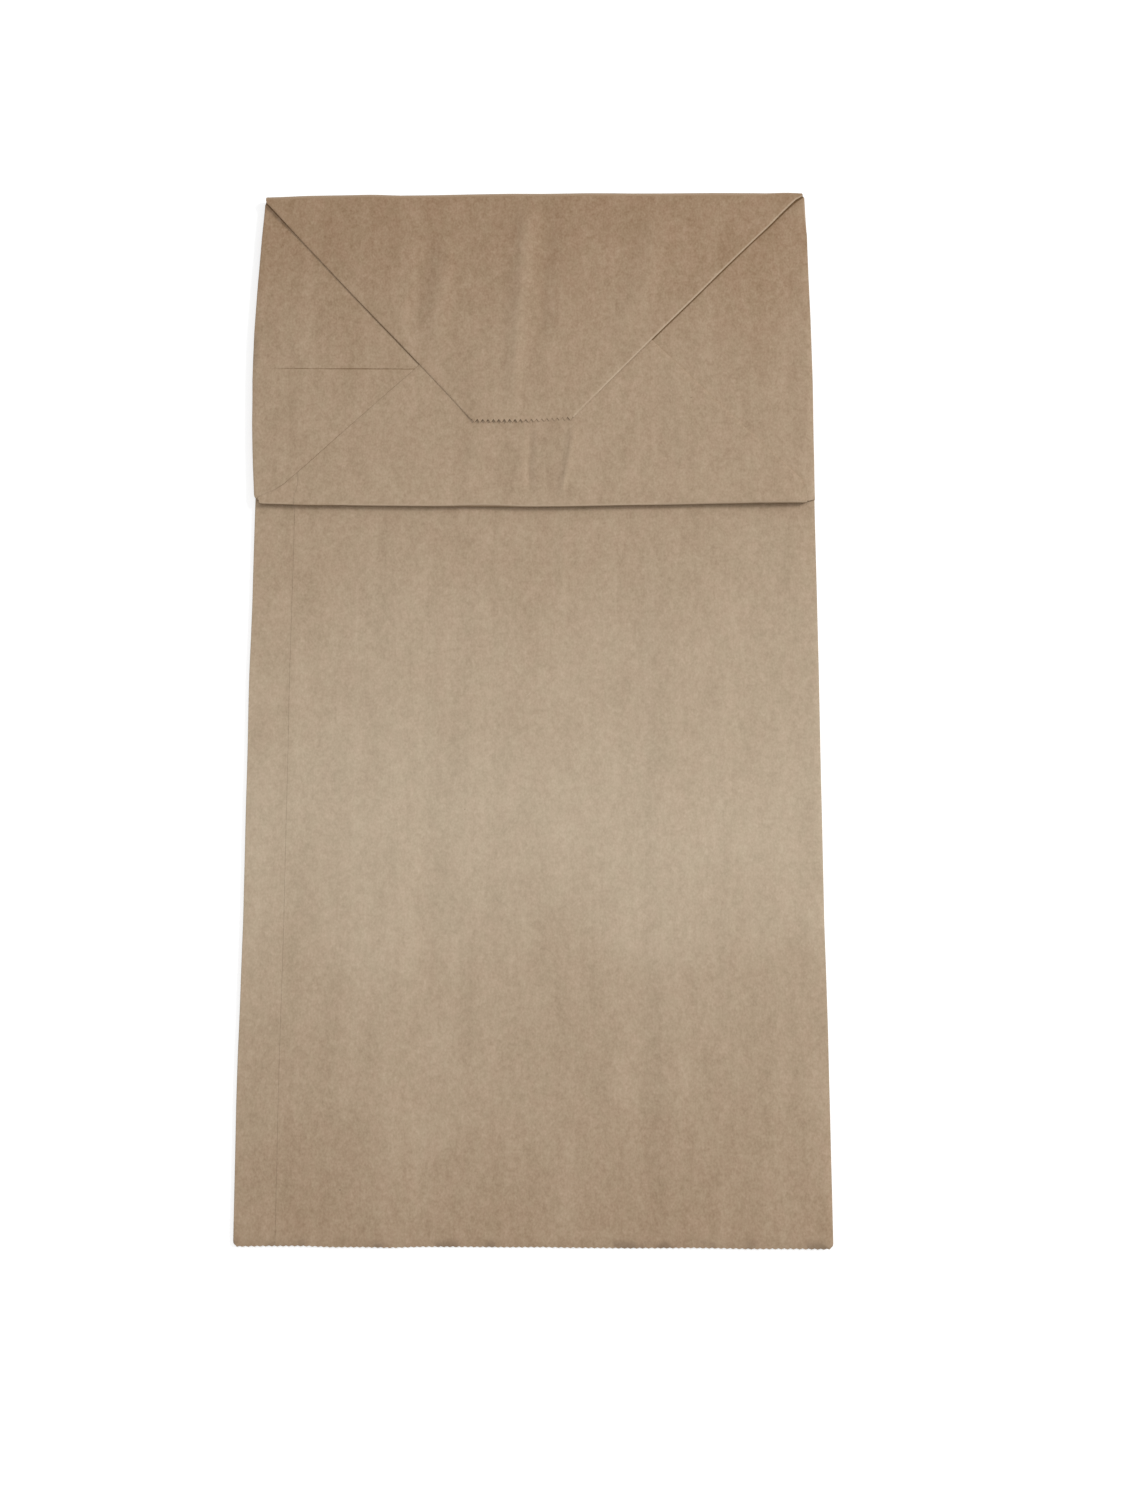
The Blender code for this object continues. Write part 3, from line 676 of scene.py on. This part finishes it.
def specks(paint, place):
    """Small dark flecks of bark in the pulp."""
    found = paint.cells(place, size=24.0)
    spread = paint.nodes.new("ShaderNodeSeparateColor")
    paint.links.new(found.outputs["Color"], spread.inputs[0])
    size = paint.math("MULTIPLY_ADD", spread.outputs[0], 0.014, 0.001)
    edge = paint.math("DIVIDE", found.outputs["Distance"], size)
    return paint.math("SUBTRACT", 1.0, paint.step(edge, 0.6, 1.1))


def fibres(paint, place, size, length, width):
    """Short fibres that lie at all angles, one in each cell."""
    found = paint.cells(place, size)
    spread = paint.nodes.new("ShaderNodeSeparateColor")
    paint.links.new(found.outputs["Color"], spread.inputs[0])
    scaled = paint.vector("MULTIPLY", place, (1000.0 / size,) * 3)
    local = paint.vector("SUBTRACT", scaled, found.outputs["Position"])
    turn = paint.nodes.new("ShaderNodeVectorRotate")
    turn.rotation_type = "Z_AXIS"
    paint.links.new(local, turn.inputs["Vector"])
    paint.links.new(paint.math("MULTIPLY", spread.outputs[0], 6.28), turn.inputs["Angle"])
    apart = paint.nodes.new("ShaderNodeSeparateXYZ")
    paint.links.new(turn.outputs[0], apart.inputs[0])
    bent = paint.math("MULTIPLY", apart.outputs[1], apart.outputs[1])
    bent = paint.math("MULTIPLY_ADD", bent, 1.2, apart.outputs[0])
    across = paint.math("ABSOLUTE", bent)
    along = paint.math("ABSOLUTE", apart.outputs[1])
    thin = paint.math("SUBTRACT", 1.0, paint.step(across, 0.4 * width / size, width / size))
    short = paint.math("SUBTRACT", 1.0, paint.step(along, 0.3 * length / size, 0.5 * length / size))
    some = paint.math("GREATER_THAN", spread.outputs[1], 0.45)
    return paint.math("MULTIPLY", paint.math("MULTIPLY", thin, short), some)


def kraft_material():
    """Brown kraft paper: cloudy pulp, flecks, fibres, a smudged mouth and worn folds, with a painted sheen
    along the bag, painted highlights on some folds and ridges, and painted shade at folds, creases and
    dents.
    """
    paint = Paint("kraft_paper")
    shader = paint.nodes["Principled BSDF"]
    where = paint.nodes.new("ShaderNodeTexCoord").outputs["Object"]
    apart = paint.nodes.new("ShaderNodeSeparateXYZ")
    paint.links.new(where, apart.inputs[0])
    ply = paint.nodes.new("ShaderNodeAttribute")
    ply.attribute_name = "ply"
    flat = paint.nodes.new("ShaderNodeCombineXYZ")
    paint.links.new(apart.outputs[0], flat.inputs[0])
    paint.links.new(apart.outputs[1], flat.inputs[1])
    paint.links.new(paint.math("MULTIPLY", ply.outputs["Fac"], PLY_SHIFT), flat.inputs[2])
    place = flat.outputs[0]
    upright = paint.stretched(place, scale=(1.0, 0.45, 1.0), shift=(0.3, 0.1, 0.0))
    drawn = paint.stretched(place, scale=(1.0, 0.07, 1.0), shift=(0.7, 0.2, 0.0))
    fine = paint.stretched(place, scale=(1.0, 0.75, 1.0), shift=(0.11, 0.4, 0.0))
    broad = paint.noise(upright, size=55.0)
    streaks = paint.noise(drawn, size=8.0, detail=3.0)
    blotch = paint.noise(upright, size=8.0, detail=3.0, roughness=0.6)
    grain = paint.noise(fine, size=2.0, detail=3.0, roughness=0.6)
    dust = paint.noise(fine, size=0.8)
    weighed = [(broad, BROAD), (streaks, STREAKS), (blotch, BLOTCH), (grain, GRAIN), (dust, DUST)]
    shade = add_up(paint, weighed)
    tinted = paint.nodes.new("ShaderNodeCombineColor")
    paint.links.new(paint.math("POWER", shade, RED_POWER), tinted.inputs[0])
    paint.links.new(shade, tinted.inputs[1])
    paint.links.new(paint.math("POWER", shade, BLUE_POWER), tinted.inputs[2])
    apart_from_shade = paint.stretched(place, scale=(1.0, 0.6, 1.0), shift=(0.9, 0.6, 0.0))
    tone = paint.noise(apart_from_shade, size=7.0, detail=5.0, roughness=0.75)
    colour = paint.mix(paint.step(tone, -0.15, 0.15), PINK_KRAFT, GREEN_KRAFT)

    # Painted sheen: a pale addition that stands in for the lamps' sheen and light level along the bag
    along = paint.math("MULTIPLY_ADD", broad, 0.10, apart.outputs[1])
    along = paint.math("MULTIPLY_ADD", along, 1.0 / (PAINTED_SHEEN_SPAN * MM), 0.5)
    painted_sheen = paint.nodes.new("ShaderNodeValToRGB")
    paint.links.new(along, painted_sheen.inputs["Fac"])
    set_stops(painted_sheen.color_ramp, PAINTED_SHEEN_ALONG)
    colour = paint.mix(1.0, colour, tinted.outputs[0], "MULTIPLY")
    colour = paint.mix(painted_sheen.outputs["Color"], colour, SHEEN, "ADD")
    bark = specks(paint, place)
    colour = paint.mix(paint.math("MULTIPLY", bark, SPECKS_SHOW), colour, BARK_SPECK)
    light = fibres(paint, place, size=17.0, length=3.2, width=0.16)
    colour = paint.mix(paint.math("MULTIPLY", light, FIBRES_SHOW), colour, PALE_FIBRE)
    elsewhere = paint.stretched(place, scale=(1.0, 1.0, 1.0), shift=(0.5, 0.8, 0.3))
    dark = fibres(paint, elsewhere, size=21.0, length=2.4, width=0.13)
    colour = paint.mix(paint.math("MULTIPLY", dark, FIBRES_SHOW), colour, DARK_FIBRE)

    near = paint.math("SUBTRACT", 1.0, paint.step(apart.outputs[1], -224.5 * MM, -219.5 * MM))
    smudge = paint.step(paint.noise(place, size=9.0), 0.02, 0.16)
    smudge = paint.math("MULTIPLY", near, paint.math("MULTIPLY_ADD", smudge, 0.55, 0.12))
    colour = paint.mix(smudge, colour, MOUTH_SMUDGE)

    # Rubbed pale folds, partly painted highlight, from the attribute's values above 0
    wear_and_light_attribute = paint.nodes.new("ShaderNodeAttribute")
    wear_and_light_attribute.attribute_name = "fold_wear_and_painted_light"
    rubbed_and_highlight = paint.math("MAXIMUM", wear_and_light_attribute.outputs["Fac"], 0.0)
    colour = paint.mix(paint.math("MULTIPLY", rubbed_and_highlight, RUBBED_AND_HIGHLIGHT_SHOWS), colour, RUBBED_FOLD_AND_HIGHLIGHT)
    # Painted shade lines at the feet of folds, along the crease and on the lower fold's wall, from the
    # attribute's values below 0
    pressed = paint.math("MAXIMUM", paint.math("MULTIPLY", wear_and_light_attribute.outputs["Fac"], -1.0), 0.0)
    colour = paint.mix(paint.math("MULTIPLY", pressed, PAINTED_SHADE_SHOWS), colour, PAINTED_SHADE_COLOUR)

    paint.put(shader.inputs["Base Color"], colour)
    shader.inputs["Roughness"].default_value = ROUGHNESS
    shader.inputs["Specular IOR Level"].default_value = SPECULAR
    bump = paint.nodes.new("ShaderNodeBump")
    bump.inputs["Strength"].default_value = BUMP_STRENGTH
    bump.inputs["Distance"].default_value = BUMP_HEIGHT
    relief = add_up(paint, [(grain, 1.0), (dust, 0.6), (blotch, 0.5)])
    paint.links.new(relief, bump.inputs["Height"])
    paint.links.new(bump.outputs[0], shader.inputs["Normal"])
    return paint.material


def floor_material():
    """Matt and pale, with a glow for the camera alone, so that it keeps the bag's shadow."""
    paint = Paint("white_floor")
    nodes, links = paint.nodes, paint.links
    nodes.clear()
    out = nodes.new("ShaderNodeOutputMaterial")
    add = nodes.new("ShaderNodeAddShader")
    matt = nodes.new("ShaderNodeBsdfDiffuse")
    matt.inputs["Color"].default_value = FLOOR_GREY
    glow = nodes.new("ShaderNodeEmission")
    path = nodes.new("ShaderNodeLightPath")
    links.new(paint.math("MULTIPLY", path.outputs["Is Camera Ray"], FLOOR_GLOW), glow.inputs["Strength"])
    links.new(matt.outputs[0], add.inputs[0])
    links.new(glow.outputs[0], add.inputs[1])
    links.new(add.outputs[0], out.inputs["Surface"])
    return paint.material


def make_floor():
    bpy.ops.object.select_all(action="DESELECT")
    bpy.ops.mesh.primitive_plane_add(size=6.0, location=(0, 0, -0.3 * MM))
    floor = bpy.context.object
    floor.name = "floor"
    floor.data.materials.append(floor_material())


def make_camera():
    data = bpy.data.cameras.new("camera")
    data.sensor_width = SENSOR
    data.lens = SENSOR * FOCAL_PX / LONG_SIDE_PX
    camera = bpy.data.objects.new("camera", data)
    bpy.context.scene.collection.objects.link(camera)
    turn = Vector([math.radians(a) for a in CAMERA_TILT])
    camera.rotation_mode = "QUATERNION"
    camera.rotation_quaternion = Matrix.Rotation(turn.length, 3, turn.normalized()).to_quaternion()
    camera.location = CAMERA_AT
    bpy.context.scene.camera = camera


def soft_box(name, at, width, depth, power):
    """A rectangular lamp that faces the middle of the bag."""
    data = bpy.data.lights.new(name, "AREA")
    data.shape = "RECTANGLE"
    data.size = width
    data.size_y = depth
    data.energy = power
    light = bpy.data.objects.new(name, data)
    bpy.context.scene.collection.objects.link(light)
    light.location = at
    light.rotation_euler = (-Vector(at)).to_track_quat("-Z", "Y").to_euler()


def make_lights():
    soft_box("overhead", *OVERHEAD)
    soft_box("window", *WINDOW)
    world = bpy.data.worlds.new("studio")
    bpy.context.scene.world = world
    world.use_nodes = True
    nodes, links = world.node_tree.nodes, world.node_tree.links
    back = nodes["Background"]
    back.inputs["Color"].default_value = (1, 1, 1, 1)
    path = nodes.new("ShaderNodeLightPath")
    level = nodes.new("ShaderNodeMapRange")
    links.new(path.outputs["Is Camera Ray"], level.inputs["Value"])
    level.inputs["To Min"].default_value = WORLD_LIGHT
    level.inputs["To Max"].default_value = 1.0
    links.new(level.outputs[0], back.inputs["Strength"])


bag = sheet_from_part(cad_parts["paper_bag"], "folded_sheet")
cut_for_bending(bag)
settle(bag)
bag.data.materials.clear()
bag.data.materials.append(kraft_material())
select_only(bag)
bpy.ops.object.shade_smooth_by_angle(angle=SMOOTH_ANGLE)
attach(bag, "root")
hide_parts("paper_bag")

make_floor()
make_camera()
make_lights()
bpy.context.scene.view_settings.view_transform = "Standard"
